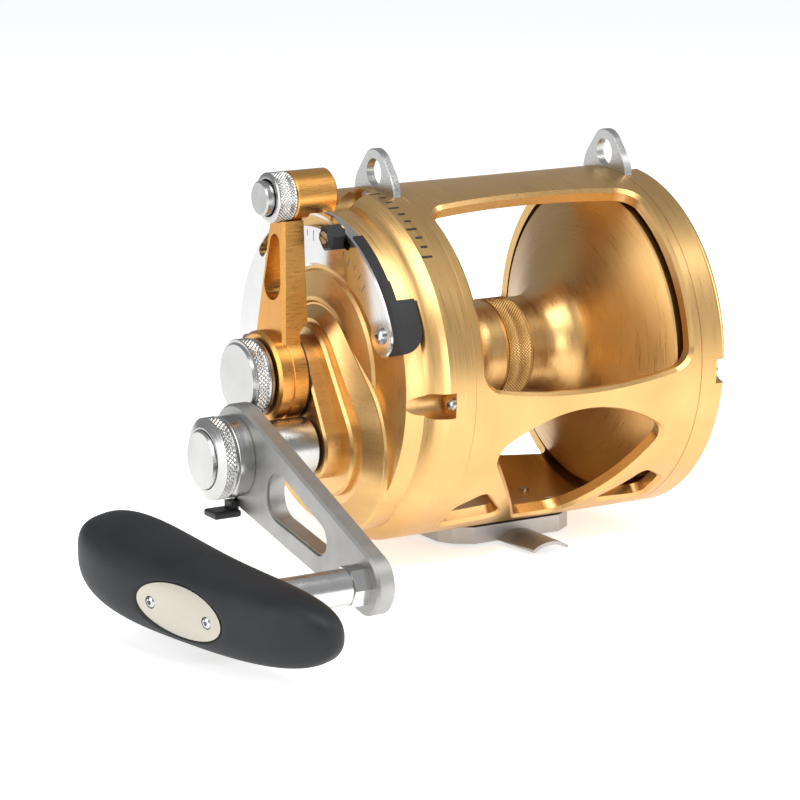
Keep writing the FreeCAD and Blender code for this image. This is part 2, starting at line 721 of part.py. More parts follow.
def make_preset_knob():
    knob = lathe([(-110.3, 0), (-110.3, 12.6), (-109.3, 13.4), (-109.3, 14.2), (-109.0, 14.5),
                  (-104.6, 14.5), (-104.3, 13.6), (-103.3, 13.6), (-103.0, 14.2),
                  (-102.2, 14.2), (-102.2, 0)])
    return knob.cut(rod(-107.6, -102, 4.5 + running_gap))


# ---- spool ------------------------------------------------------------------------------------
def flare():
    """Where the concave flare ends and the straight cone reaches the flange's rim."""
    a = math.radians(flare_angle)
    x1 = arbor_half + flare_r * math.sin(a)
    r1 = arbor_r + flare_r * (1 - math.cos(a))
    x2 = x1 + (spool_flange_r - r1) / math.tan(a)
    return x1, r1, x2


def make_spool():
    x1, r1, x2 = flare()
    half = math.radians(flare_angle / 2)
    xm = arbor_half + flare_r * math.sin(half)
    rm = arbor_r + flare_r * (1 - math.cos(half))
    groove = 0.4
    band = 5.2
    line_side = [(-spool_half, spool_flange_r - 1), (-spool_half + 1, spool_flange_r),
                 (-x2 - 0.6, spool_flange_r), (-x2, spool_flange_r - 0.6), (-x1, r1),
                 (-xm, rm, -arbor_half, arbor_r), (-band - 0.8, arbor_r),
                 (-band - 0.4, arbor_r - groove), (-band, arbor_r), (band, arbor_r),
                 (band + 0.4, arbor_r - groove), (band + 0.8, arbor_r), (arbor_half, arbor_r),
                 (xm, rm, x1, r1), (x2, spool_flange_r - 0.6), (x2 + 0.6, spool_flange_r),
                 (spool_half - 1, spool_flange_r), (spool_half, spool_flange_r - 1)]
    hub_r = 14.0
    deep = x1 + 6.0
    inner = [(spool_half, 52.0), (spool_half - 1.5, 51.0), (deep, 26.0), (deep - 2.0, hub_r),
             (51.2, hub_r), (51.2, bearing_r), (43.8, bearing_r), (43.8, 6.0),
             (-39.8, 6.0), (-39.8, bearing_r), (-46.9, bearing_r), (-46.9, hub_r),
             (2.0 - deep, hub_r), (-deep, 26.0), (1.5 - spool_half, 51.0), (-spool_half, 52.0)]
    return lathe(line_side + inner)


def make_click_gear():
    teeth = 30
    points = []
    for k in range(teeth):
        for r, share in ((23.5, -0.12), (23.5, 0.12), (20.8, 0.3), (20.8, 0.7)):
            a = 2 * pi * (k + share) / teeth
            points.append(V(49.4, r * math.cos(a), r * math.sin(a)))
    wheel = Part.Face(Part.makePolygon(points + points[:1])).extrude(V(1.8, 0, 0))
    return wheel.cut(rod(48, 53, 14.0))


def make_drag_plate():
    plate = lathe([(-51.2, 5.05), (-51.2, 52.0), (-49.4, 52.0), (-49.4, 5.05)])
    plate = plate.fuse(tube(-57.2, -51.0, 5.05, 8.0)).removeSplitter()
    for hole in ring_of(rod(-55, -48, 3.0, (0, 20.0)), 6):
        plate = plate.cut(hole)
    return plate


# ---- handle -----------------------------------------------------------------------------------
mesh_line = math.atan2(handle_yz[1], handle_yz[0])     # from the spool axis to the handle axis


def gear_pair(pinion_teeth, wheel_teeth, span, wheel_bore):
    """Pinion with a tooth on the line of centres, and a wheel with a gap there."""
    pinion = gear(pinion_teeth, span[0], span[1], 5.05, spool_yz, mesh_line)
    wheel = gear(wheel_teeth, span[0] + 0.2, span[1] - 0.2, wheel_bore, handle_yz,
                 mesh_line + pi + pi / wheel_teeth)
    return pinion, wheel


key_x = (-60.7, -58.7)


def make_shift_rod():
    """Rod down the middle of the handle shaft, with the key that picks a gear."""
    spindle = rod(-124.0, -55.0, 2.5, handle_yz)
    y, z = handle_yz
    key = box(key_x[0], key_x[1], y - 6.4, y + 6.4, z - 1.0, z + 1.0)
    return turn(spindle.fuse(key), arm_droop, handle_yz)


def key_way(x0, x1, reach, half):
    y, z = handle_yz
    return turn(box(x0, x1, y - reach, y + reach, z - half, z + half), arm_droop, handle_yz)


def make_handle_shaft():
    shaft = tube(-118.4, -52.4, 2.5 + running_gap, 5.0, handle_yz)
    return shaft.cut(key_way(key_x[0] - shift_travel - 0.3, key_x[1] + 0.3, 7, 1.1))


def make_arm():
    hub = handle_yz
    level_end = (hub[0] - arm_length, hub[1])
    arm = hull(arm_x[0], arm_x[1], hub, 18.5, level_end, 11.0)
    arm = arm.makeChamfer(0.9, end_edges(arm, arm_x[0]) + end_edges(arm, arm_x[1]))
    near = (hub[0] - 32.5, hub[1])
    far = (hub[0] - 61.0, hub[1])
    window = hull(arm_x[0] - 1, arm_x[1] + 1, near, 8.3, far, 5.2)
    arm = arm.cut(window)
    rim = hull(arm_x[0], arm_x[0] + 0.9, near, 9.1, far, 6.0)
    arm = arm.cut(rim)
    arm = arm.cut(rod(-130, -100, 5.0, hub)).cut(rod(-130, -100, 4.5, level_end))
    return turn(arm, arm_droop, hub).cut(release_slot())


def make_sleeve():
    sleeve = lathe([(-111.5, 5.0), (-111.5, sleeve_r), (-90.4, sleeve_r), (-89.4, sleeve_r - 1.0),
                    (-89.4, 5.0)], handle_yz)
    return sleeve


def make_handle_cap():
    cap = lathe([(-118.5, 2.6), (-118.5, 14.7), (-124.6, 14.7), (-125.0, 13.9), (-125.6, 13.9),
                 (-126.0, 14.9), (-130.0, 14.9), (-130.4, 14.2), (-131.8, 11.7),
                 (-131.8, 10.68), (-121.6, 10.68), (-121.6, 2.6)], handle_yz)
    return cap


def make_shift_button():
    return lathe([(-133.0, 0), (-133.0, 9.9), (-132.3, 10.6), (-122.2, 10.6), (-122.2, 2.5),
                  (-124.0, 2.5), (-124.0, 0)], handle_yz)


release_stem_r = 0.9
release_stem_drop = 16.7
release_travel = 1.0


def release_slot():
    """Slot in the arm's hub for the paddle's stem, long enough for its travel."""
    y, z = handle_yz
    half = release_stem_r + 0.1
    low = (y, z - release_stem_drop)
    high = (y, z - release_stem_drop + release_travel + 0.1)
    return hull(-119, -111.8, low, half, high, half - 0.001)


def make_shift_release():
    """Thumb paddle under the cap, which lets the shift button out again."""
    y, z = handle_yz
    paddle = box(-129.4, -119.0, y - 4.2, y + 4.2, z - 21.8, z - 18.9)
    paddle = paddle.makeFillet(1.0, [e for e in paddle.Edges if e.Length > 8])
    paddle = paddle.fuse(box(-122.0, -119.0, y - 2.6, y + 2.6, z - 19.5, z - 16.3))
    stem = rod(-119.6, -112.5, release_stem_r, (y, z - release_stem_drop))
    return paddle.fuse(stem).removeSplitter()


def make_post():
    return lathe([(post_outer_x, 0), (post_outer_x, 5.9), (post_outer_x + 0.5, post_r),
                  (-125.5, post_r), (-125.0, 5.9), (-125.0, 4.5), (-111.7, 4.5), (-111.7, 0)],
                 post_yz)


def grip_placement():
    """From the grip's own frame (length along Y, face at x = 0) to the post."""
    place = FreeCAD.Placement(V(grip_face_x, post_yz[0], post_yz[1]), FreeCAD.Rotation())
    lean = FreeCAD.Placement(V(0, 0, 0), FreeCAD.Rotation(V(0, 0, 1), grip_skew))
    dip = FreeCAD.Placement(V(0, 0, 0), FreeCAD.Rotation(V(1, 0, 0), grip_dip))
    roll = FreeCAD.Placement(V(0, 0, 0), FreeCAD.Rotation(V(0, 1, 0), grip_roll))
    return place.multiply(dip).multiply(lean).multiply(roll)


def make_grip():
    """Curved handle grip, lofted through rounded sections along its length."""
    stations = (-1.0, -0.985, -0.93, -0.8, -0.55, -0.2, 0.2, 0.55, 0.8, 0.93, 0.985, 1.0)
    wires = []
    for t in stations:
        y = grip_offset + t * grip_half_length
        swell = max(1 - abs(t) ** 3.2, 0.03) ** (1 / 2.4)
        half_z = (14.3 + 2.1 * t + 2.7 * t * t) * swell
        half_x = (16.0 + 4.8 * t) * swell
        middle = 18.2 + 4.8 * t + 1.8 * t * t
        lift = 3.5 * t * t
        points = []
        for k in range(20):
            a = 2 * pi * k / 20
            c = math.cos(a)
            s = math.sin(a)
            power = 0.84 if c > 0 else 0.68
            px = math.copysign(abs(c) ** power, c)
            pz = math.copysign(abs(s) ** power, s)
            points.append(V(middle + half_x * px, y, lift + half_z * pz))
        curve = Part.BSplineCurve()
        curve.interpolate(points, PeriodicFlag=True)
        wires.append(Part.Wire(curve.toShape()))
    grip = Part.makeLoft(wires, True, False)
    grip.Placement = grip_placement()
    return grip


def badge_plate(depth, thick, grow=0.0):
    """Oval plate, bowed across its width like the grip's outer face."""
    oval = Part.Ellipse(V(0, 0, 0), badge_half[0] + grow, badge_half[1] + grow)
    face = Part.Face(Part.Wire(oval.toShape()))
    face.rotate(V(0, 0, 0), V(0, 0, 1), 90)
    face.rotate(V(0, 0, 0), V(0, 1, 0), 90)
    solid = face.extrude(V(14, 0, 0))
    solid.translate(V(-6, 0, 0))
    centre = V(badge_bow_r + depth, -40, 0)
    shell = Part.makeCylinder(badge_bow_r, 80, centre, V(0, 1, 0))
    shell = shell.cut(Part.makeCylinder(badge_bow_r - thick, 80, centre, V(0, 1, 0)))
    solid = solid.common(shell)
    solid.Placement = grip_placement().multiply(solid.Placement)
    return solid


def badge_screw(y):
    screw = button_screw(badge_seat, -1, badge_head_r, 1.6, badge_screw_r, 5.0, (y, 0))
    screw.Placement = grip_placement().multiply(screw.Placement)
    return screw


def badge_hole(y, r):
    hole = rod(-2, 12, r, (y, 0))
    hole.Placement = grip_placement().multiply(hole.Placement)
    return hole


# ---- foot -------------------------------------------------------------------------------------
def make_foot():
    """Seat plate with a saddle tongue at each end."""
    top = -63.6
    low = -axis_height
    corners = [V(-29, -7, low), (-26, -12), (-19, -17), (19, -17), (26, -12), (29, -7),
               (29, 7), (26, 12), (19, 17), (-19, 17), (-26, 12), (-29, 7)]
    loop = [V(c[0], c[1], low) for c in corners]
    plate = Part.Face(Part.makePolygon(loop + loop[:1])).extrude(V(0, 0, top - low))
    for x in (-20, 20):
        for y in (-9, 9):
            plate = plate.cut(Part.makeCylinder(2.1, 12, V(x, y, low - 1), V(0, 0, 1)))
            plate = plate.cut(Part.makeCylinder(3.8, 3.2, V(x, y, low - 1), V(0, 0, 1)))
    saddle_r = 14.0
    crest = -66.4
    upper = Part.makeCylinder(saddle_r, 84, V(0, -42, crest - saddle_r), V(0, 1, 0))
    under = Part.makeCylinder(saddle_r - 1.4, 84, V(0, -42, crest - saddle_r), V(0, 1, 0))
    tongue = upper.cut(under).common(box(-9, 9, -40, 40, low + 0.2, top))
    trim = [V(-9, -16, low), V(-7.7, -40, low), V(7.7, -40, low), V(9, -16, low),
            V(9, 16, low), V(7.7, 40, low), V(-7.7, 40, low), V(-9, 16, low), V(-9, -16, low)]
    tongue = tongue.common(Part.Face(Part.makePolygon(trim)).extrude(V(0, 0, 20)))
    return plate.fuse(tongue).removeSplitter()


def make_foot_screws():
    screws = []
    for x in (-20, 20):
        for y in (-9, 9):
            screw = button_screw(0, -1, 3.6, 1.9, 2.0, 9.0, (0, 0))
            screw.rotate(V(0, 0, 0), V(0, 1, 0), -90)
            screw.translate(V(x, y, -axis_height + 2.2))
            screws.append(screw)
    return Part.makeCompound(screws)


def make_side_screws():
    screws = []
    for angle in screw_angles:
        right = button_screw(-57.4, -1, 2.4, 1.8, 1.5, 13.0, (0, screw_ring_r))
        left = button_screw(56.0, 1, 2.4, 1.8, 1.5, 12.0, (0, screw_ring_r))
        screws += [turn(right, angle), turn(left, angle)]
    return Part.makeCompound(screws)


# ---- build ------------------------------------------------------------------------------------
def main():
    os.makedirs("parts", exist_ok=True)
    save("frame", make_frame())
    save("handle_side_plate", make_handle_side_plate())
    save("gear_case", make_gear_case())
    save("gear_case_screws", make_case_screws())
    save("bearing_bridge", make_bridge())
    bridge_screw = button_screw(bridge_x[1], 1, 2.2, 1.6, 1.3, 6.5, (0, bridge_screw_r))
    save("bridge_screws", Part.makeCompound([turn(bridge_screw, a) for a in bridge_screw_angles]))
    save("left_side_plate", make_left_plate())
    save("left_bearing_cap", make_left_cap())
    save("quadrant_plate", make_quadrant())
    screw = button_screw(quadrant_x[0], -1, 2.9, 1.8, 1.5, 4.6, (0, quadrant_screw_r))
    save("quadrant_screws", Part.makeCompound([turn(screw, a) for a in quadrant_screw_angles]))
    save("end_bumper", make_bumper())
    save("harness_lug_right", make_lug("right"))
    save("harness_lug_left", make_lug("left"))
    save("lug_screws", make_lug_screws())
    save("reel_foot", make_foot())
    save("foot_screws", make_foot_screws())
    save("side_plate_screws", make_side_screws())
    save("drive_bearing", bearing(bridge_x[0], bridge_x[1], 8.0 + running_gap, 12.0))
    save("handle_inner_bearing", bearing(bridge_x[0], bridge_x[1], 5.0 + running_gap, 8.0, handle_yz))
    save("handle_outer_bearing", bearing(-88.0, -81.5, 5.0 + running_gap, 10.0, handle_yz))
    save("strike_stop", make_strike_stop())
    save("strike_stop_screw", make_strike_screw())

    save("drag_lever", make_lever())
    save("lever_collar", make_lever_collar())
    save("lever_cam", make_lever_cam())
    save("lever_seal", make_lever_seal())
    save("lever_button", make_lever_button())
    save("button_spring", make_button_spring())
    save("spool_shaft", make_shaft())
    save("preset_springs", make_preset_springs())
    save("preset_knob", make_preset_knob())

    save("spool", make_spool())
    save("spool_bearing_right", bearing(-46.4, -39.8, shaft_r + 0.05, bearing_r))
    save("spool_bearing_left", bearing(43.8, 50.6, shaft_r + 0.05, bearing_r))
    save("click_gear", make_click_gear())
    save("drag_washer", tube(-48.6, -47.0, 30.0, 56.0))
    save("drag_plate", make_drag_plate())

    low_pinion, low_gear = gear_pair(low_pinion_teeth, low_gear_teeth, low_x, 5.0)
    high_pinion, high_gear = gear_pair(high_pinion_teeth, high_gear_teeth, high_x, 5.0 + running_gap)
    low_pinion = low_pinion.fuse(tube(high_x[1], low_x[0], 5.05, 8.0)).removeSplitter()
    low_gear = low_gear.cut(key_way(low_x[0] - 1, key_x[1] + 0.3, 6.6, 1.15))
    high_gear = high_gear.cut(rod(-67.9, -60, 6.8, handle_yz))
    save("low_pinion", low_pinion)
    save("high_pinion", high_pinion)
    save("low_gear", low_gear)
    save("high_gear", high_gear)

    save("handle_shaft", make_handle_shaft())
    save("handle_sleeve", make_sleeve())
    save("handle_arm", make_arm())
    save("handle_cap", make_handle_cap())
    save("anti_reverse_ratchet", make_ratchet())
    for name, spot in zip(("front", "rear"), dog_pivots()):
        save("anti_reverse_dog_" + name, make_dog(spot))
    save("shift_button", make_shift_button())
    save("shift_rod", make_shift_rod())
    save("shift_release", make_shift_release())
    nut = hexagon(-125.0, arm_x[0], 12.7, post_yz).cut(rod(-126, -118, 4.5, post_yz))
    save("grip_nut", nut)
    save("grip_post", make_post())

    bush = tube(0, 5, post_r + running_gap, 8.0, post_yz)
    spots = (-164.0, -181.4)
    bushes = []
    grip = make_grip().cut(rod(post_outer_x - 0.3, -100, 8.0, post_yz))
    grip = grip.cut(badge_plate(-2.0, 2.0 + badge_depth + badge_thick, 0.1))
    for x in spots:
        piece = bush.copy()
        piece.translate(V(x, 0, 0))
        bushes.append(piece)
    badge = badge_plate(badge_depth, badge_thick)
    for y in (-badge_screw_y, badge_screw_y):
        grip = grip.cut(badge_hole(y, badge_screw_r + 0.05))
        badge = badge.cut(badge_hole(y, badge_head_r + 0.1))
    save("grip", grip)
    save("grip_bushes", Part.makeCompound(bushes))
    save("grip_badge", badge)
    save("badge_screws", Part.makeCompound([badge_screw(-badge_screw_y), badge_screw(badge_screw_y)]))
    save("click_button", make_click_button())
    save("click_tongue", make_click_tongue())


main()
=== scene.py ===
import math

import bpy
import numpy as np
from mathutils import Matrix, Vector


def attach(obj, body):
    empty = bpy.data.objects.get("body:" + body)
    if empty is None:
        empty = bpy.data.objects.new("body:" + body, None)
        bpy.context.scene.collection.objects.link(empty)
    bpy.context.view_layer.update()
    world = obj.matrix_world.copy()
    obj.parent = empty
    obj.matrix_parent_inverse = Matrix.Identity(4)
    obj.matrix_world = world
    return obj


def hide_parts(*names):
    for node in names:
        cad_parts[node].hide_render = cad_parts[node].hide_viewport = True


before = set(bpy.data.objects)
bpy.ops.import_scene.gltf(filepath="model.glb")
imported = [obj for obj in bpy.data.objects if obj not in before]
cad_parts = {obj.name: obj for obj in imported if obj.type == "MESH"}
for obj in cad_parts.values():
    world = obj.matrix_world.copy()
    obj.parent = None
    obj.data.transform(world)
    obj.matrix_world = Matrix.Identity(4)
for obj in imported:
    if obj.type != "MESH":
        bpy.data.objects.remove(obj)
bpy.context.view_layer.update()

# Looks of the two-speed lever-drag reel. Metres throughout; mm turns a size in millimetres
# into metres. The spool axis runs along X, above the rod-seat face at the origin.
mm = 0.001
AXIS_Z = 70 * mm
HANDLE_OFFSET = 28 * mm
HANDLE_ANGLE = math.radians(149.5)
HANDLE_Y = -HANDLE_OFFSET * math.sin(HANDLE_ANGLE)
HANDLE_Z = AXIS_Z + HANDLE_OFFSET * math.cos(HANDLE_ANGLE)
ARM_LENGTH = 92 * mm
ARM_DROOP = math.radians(17)
POST_Y = HANDLE_Y - ARM_LENGTH * math.cos(ARM_DROOP)
POST_Z = HANDLE_Z - ARM_LENGTH * math.sin(ARM_DROOP)
LEVER_REST = math.radians(1.4)
LEVER_HEAD_UP = 65.3 * mm
HEAD_Y = -LEVER_HEAD_UP * math.sin(LEVER_REST)
HEAD_Z = AXIS_Z + LEVER_HEAD_UP * math.cos(LEVER_REST)


# ---- materials ---------------------------------------------------------------------------
class Nodes:
    """Small helper around one material's node tree."""

    def __init__(self, name):
        self.material = bpy.data.materials.new(name)
        self.material.use_nodes = True
        self.tree = self.material.node_tree
        self.shader = self.tree.nodes["Principled BSDF"]

    def add(self, kind, **values):
        node = self.tree.nodes.new(kind)
        for key, value in values.items():
            if key in node.inputs:
                node.inputs[key].default_value = value
            else:
                setattr(node, key, value)
        return node

    def link(self, source, target):
        self.tree.links.new(source, target)

    def set(self, **values):
        for key, value in values.items():
            self.shader.inputs[key.replace("_", " ")].default_value = value

    def math(self, operation, a, b=None):
        node = self.add("ShaderNodeMath", operation=operation)
        for socket, value in zip(node.inputs, (a, b)):
            if value is None:
                continue
            if isinstance(value, (int, float)):
                socket.default_value = value
            else:
                self.link(value, socket)
        return node.outputs[0]

    def ramp(self, source, low, high, from_low=0.0, from_high=1.0):
        """Values or colours spread from low to high as the source goes between two levels."""
        node = self.add("ShaderNodeValToRGB")
        stops = node.color_ramp.elements
        for stop, value, place in ((stops[0], low, from_low), (stops[1], high, from_high)):
            colour = (value, value, value) if isinstance(value, (int, float)) else value
            stop.color = (*colour, 1)
            stop.position = place
        self.link(source, node.inputs["Fac"])
        return node.outputs["Color"]

    def turned_coordinates(self, centre_y, centre_z):
        """(along the axis, radius, a little of the angle): rings and lathe lines follow it."""
        where = self.add("ShaderNodeTexCoord").outputs["Object"]
        parts = self.add("ShaderNodeSeparateXYZ")
        self.link(where, parts.inputs[0])
        y = self.math("SUBTRACT", parts.outputs[1], centre_y)
        z = self.math("SUBTRACT", parts.outputs[2], centre_z)
        square = self.math("ADD", self.math("MULTIPLY", y, y), self.math("MULTIPLY", z, z))
        radius = self.math("SQRT", square)
        angle = self.math("MULTIPLY", self.math("ARCTAN2", y, z), 0.0009)
        joined = self.add("ShaderNodeCombineXYZ")
        self.link(parts.outputs[0], joined.inputs[0])
        self.link(radius, joined.inputs[1])
        self.link(angle, joined.inputs[2])
        return joined.outputs[0]

    def noise(self, where, scale, detail=2.0, roughness=0.5):
        node = self.add("ShaderNodeTexNoise", Scale=scale, Detail=detail, Roughness=roughness)
        self.link(where, node.inputs["Vector"])
        return node.outputs["Fac"]

    def bump(self, height, strength, distance):
        node = self.add("ShaderNodeBump", Strength=strength, Distance=distance)
        self.link(height, node.inputs["Height"])
        self.link(node.outputs[0], self.shader.inputs["Normal"])


def turned_metal(name, low, high, rough, centre=(0.0, AXIS_Z), line_scale=2600.0,
                 bump=0.12, anisotropy=0.55, specks=0.0):
    """Metal turned on a lathe: fine rings about an axis along X, and a colour that drifts."""
    m = Nodes(name)
    where = m.turned_coordinates(*centre)
    lines = m.noise(where, line_scale, 3.0, 0.65)
    drift = m.noise(m.add("ShaderNodeTexCoord").outputs["Object"], 45.0, 2.0)
    m.link(m.ramp(drift, low, high, 0.3, 0.7), m.shader.inputs["Base Color"])
    m.link(m.ramp(lines, rough * 0.75, rough * 1.3, 0.3, 0.7), m.shader.inputs["Roughness"])
    m.bump(lines, bump, 0.00002)
    m.set(Metallic=1.0, Anisotropic=anisotropy)
    tangent = m.add("ShaderNodeTangent", direction_type="RADIAL", axis="X")
    m.link(tangent.outputs[0], m.shader.inputs["Tangent"])
    return m.material


def grained_metal(name, low, high, rough, grain_scale, bump, stretch=(1, 1, 1)):
    """Metal with an even grain: blasted where the stretch is even, brushed where it isn't."""
    m = Nodes(name)
    spread = m.add("ShaderNodeMapping", Scale=stretch)
    m.link(m.add("ShaderNodeTexCoord").outputs["Object"], spread.inputs["Vector"])
    grain = m.noise(spread.outputs[0], grain_scale, 3.0, 0.6)
    drift = m.noise(spread.outputs[0], grain_scale * 0.02, 2.0)
    m.link(m.ramp(drift, low, high, 0.3, 0.7), m.shader.inputs["Base Color"])
    m.link(m.ramp(grain, rough * 0.8, rough * 1.25, 0.3, 0.7), m.shader.inputs["Roughness"])
    m.bump(grain, bump, 0.00004)
    m.set(Metallic=1.0)
    return m.material


def moulded(name, low, high, rough, grain_scale, bump):
    """Rubber or moulded plastic with a fine texture."""
    m = Nodes(name)
    where = m.add("ShaderNodeTexCoord").outputs["Object"]
    grain = m.noise(where, grain_scale, 4.0, 0.6)
    blotch = m.noise(where, 60.0, 2.0)
    m.link(m.ramp(blotch, low, high, 0.3, 0.7), m.shader.inputs["Base Color"])
    m.link(m.ramp(grain, rough * 0.85, min(rough * 1.2, 1.0), 0.3, 0.7),
           m.shader.inputs["Roughness"])
    m.bump(grain, bump, 0.00008)
    m.set(Specular_IOR_Level=0.3)
    return m.material


def woven(name):
    """Carbon friction disc: a fine crossed weave."""
    m = Nodes(name)
    where = m.add("ShaderNodeTexCoord").outputs["Object"]
    waves = []
    for direction in ("Y", "Z"):
        wave = m.add("ShaderNodeTexWave", Scale=400.0, bands_direction=direction)
        m.link(where, wave.inputs["Vector"])
        waves.append(wave.outputs["Fac"])
    weave = m.math("MULTIPLY", waves[0], waves[1])
    m.link(m.ramp(weave, (0.02, 0.02, 0.02), (0.07, 0.07, 0.07)), m.shader.inputs["Base Color"])
    m.bump(weave, 0.3, 0.0001)
    m.set(Roughness=0.5)
    return m.material


GOLD_LOW = (0.60, 0.365, 0.14)
GOLD_HIGH = (0.68, 0.43, 0.175)
gold = turned_metal("gold_turned", GOLD_LOW, GOLD_HIGH, 0.33, bump=0.03)
gold_plain = grained_metal("gold_milled", GOLD_LOW, GOLD_HIGH, 0.31, 1500, 0.006, (0.15, 1, 6))
gold_lever = grained_metal("gold_lever", (0.66, 0.32, 0.08), (0.74, 0.38, 0.105), 0.3, 1500,
                           0.006, (0.15, 6, 1))
# Darker gold for the arbor's knurled band: painted shade, standing in for the shade that falls in
# the knurl's grooves.
gold_knurl_painted_shade = turned_metal("knurl_gold_painted_shade", (0.42, 0.25, 0.09), (0.48, 0.29, 0.11), 0.38, bump=0.03)
quadrant_metal = turned_metal("quadrant_steel", (0.60, 0.60, 0.59), (0.68, 0.68, 0.67), 0.16,
                              bump=0.05, anisotropy=0.3)
steel_spool_axis = turned_metal("silver_spool_axis", (0.44, 0.44, 0.43), (0.52, 0.52, 0.51), 0.22)
steel_handle_axis = turned_metal("silver_handle_axis", (0.44, 0.44, 0.43), (0.52, 0.52, 0.51),
                                 0.22, centre=(HANDLE_Y, HANDLE_Z))
steel_post_axis = turned_metal("silver_post_axis", (0.60, 0.59, 0.57), (0.68, 0.67, 0.65), 0.2,
                               centre=(POST_Y, POST_Z))
steel_head_axis = turned_metal("silver_head_axis", (0.44, 0.44, 0.43), (0.52, 0.52, 0.51), 0.24,
                               centre=(HEAD_Y, HEAD_Z))
blasted = grained_metal("blasted_aluminium", (0.34, 0.335, 0.32), (0.40, 0.395, 0.38), 0.46, 5200,
                        0.35)
foot_metal = grained_metal("foot_aluminium", (0.36, 0.345, 0.33), (0.44, 0.42, 0.40), 0.42, 3600,
                           0.4)
lug_metal = grained_metal("lug_steel", (0.44, 0.44, 0.43), (0.52, 0.52, 0.51), 0.3, 2400, 0.15,
                          (1, 0.2, 1))
badge_metal = grained_metal("badge_steel", (0.40, 0.37, 0.32), (0.47, 0.44, 0.385), 0.34, 3000,
                            0.1, (1, 0.05, 1))
screw_metal = grained_metal("screw_steel", (0.42, 0.42, 0.42), (0.55, 0.55, 0.55), 0.25, 3000, 0.1)
gear_metal = grained_metal("gear_steel", (0.34, 0.34, 0.35), (0.44, 0.44, 0.45), 0.3, 2600, 0.15)
bearing_metal = grained_metal("bearing_steel", (0.45, 0.45, 0.46), (0.55, 0.55, 0.56), 0.2, 2000,
                              0.05)
black_plastic = moulded("black_plastic", (0.008, 0.008, 0.009), (0.014, 0.014, 0.015), 0.38, 2500,
                        0.1)
black_rubber = moulded("black_rubber", (0.010, 0.010, 0.011), (0.018, 0.018, 0.019), 0.55, 2500,
                       0.2)
grip_rubber = moulded("grip_rubber", (0.006, 0.0068, 0.008), (0.010, 0.011, 0.013), 0.52, 3400,
                      0.2)
bush_plastic = moulded("bush_plastic", (0.55, 0.52, 0.43), (0.62, 0.58, 0.5), 0.45, 900, 0.05)
carbon = woven("carbon_weave")
etched = moulded("etched_marks", (0.05, 0.05, 0.05), (0.08, 0.08, 0.08), 0.5, 1500, 0.05)
ink = moulded("dial_ink", (0.012, 0.011, 0.010), (0.02, 0.018, 0.016), 0.5, 1500, 0.05)

LOOKS = {
    "frame": gold, "handle_side_plate": gold, "left_side_plate": gold, "left_bearing_cap": gold,
    "spool": gold, "gear_case": gold_plain, "drag_lever": gold_lever,
    "quadrant_plate": quadrant_metal, "harness_lug_right": lug_metal,
    "harness_lug_left": lug_metal, "handle_sleeve": steel_handle_axis,
    "handle_cap": steel_handle_axis, "shift_button": steel_handle_axis,
    "preset_knob": steel_spool_axis, "lever_collar": steel_head_axis,
    "lever_button": steel_head_axis, "click_button": black_plastic,
    "handle_arm": blasted, "reel_foot": foot_metal, "bearing_bridge": blasted,
    "grip_badge": badge_metal, "grip_post": steel_post_axis, "grip_nut": steel_post_axis,
    "strike_stop": black_plastic, "shift_release": black_plastic, "end_bumper": black_rubber,
    "lever_seal": black_rubber, "grip": grip_rubber, "grip_bushes": bush_plastic,
    "drag_washer": carbon, "spool_shaft": steel_spool_axis, "handle_shaft": steel_handle_axis,
}
for screws in ("quadrant_screws", "lug_screws", "foot_screws", "side_plate_screws",
               "badge_screws", "bridge_screws", "gear_case_screws", "strike_stop_screw"):
    LOOKS[screws] = screw_metal
for ring in ("drive_bearing", "handle_inner_bearing", "handle_outer_bearing",
             "spool_bearing_right", "spool_bearing_left"):
    LOOKS[ring] = bearing_metal
for name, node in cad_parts.items():
    node.data.materials.clear()
    node.data.materials.append(LOOKS.get(name, gear_metal))


# ---- mesh helpers ------------------------------------------------------------------------
def new_piece(name, points, faces, material, smooth_below=40):
    mesh = bpy.data.meshes.new(name)
    mesh.from_pydata([tuple(p) for p in points], [], faces)
    mesh.materials.append(material)
    mesh.validate()
    mesh.shade_smooth()
    mesh.set_sharp_from_angle(angle=math.radians(smooth_below))
    piece = bpy.data.objects.new(name, mesh)
    bpy.context.scene.collection.objects.link(piece)
    return piece


def ring_faces(rows, columns, closed_rows=False):
    faces = []
    for j in range(rows if closed_rows else rows - 1):
        for k in range(columns):
            after = (k + 1) % columns
            below = (j + 1) % rows
            faces.append((j * columns + k, j * columns + after,
                          below * columns + after, below * columns + k))
    return faces


def lathe(name, outline, material, centre=(0.0, AXIS_Z), columns=180, relief=None, closed=False):
    """Revolve (x, radius) points about an axis along X; relief(x, angle) adds to the radius."""
    points = []
    for x, radius in outline:
        for k in range(columns):
            a = 2 * math.pi * k / columns
            r = radius + (relief(x, a) if relief else 0.0)
            points.append((x, centre[0] - r * math.sin(a), centre[1] + r * math.cos(a)))
    faces = ring_faces(len(outline), columns, closed)
    if not closed:
        for row, flip in ((0, True), (len(outline) - 1, False)):
            loop = tuple(range(row * columns, (row + 1) * columns))
            faces.append(loop[::-1] if flip else loop)
    return new_piece(name, points, faces, material)


def knurl(x_low, x_high, radius, pitch, depth):
    """Diamond knurl between two places along the axis, as a relief function."""
    around = round(2 * math.pi * radius / pitch)

    def relief(x, a):
        if x < x_low or x > x_high:
            return 0.0
        along = 2 * math.pi * (x - x_low) / pitch
        ridge = min(abs(math.sin((around * a + along) / 2)), abs(math.sin((around * a - along) / 2)))
        edge = min(1.0, (x - x_low) / (0.4 * mm), (x_high - x) / (0.4 * mm))
        return -depth * (1 - ridge) * edge
    return relief, around * 6


def steps_between(low, high, step):
    count = max(2, int(round((high - low) / step)))
    return [low + (high - low) * k / count for k in range(count + 1)]


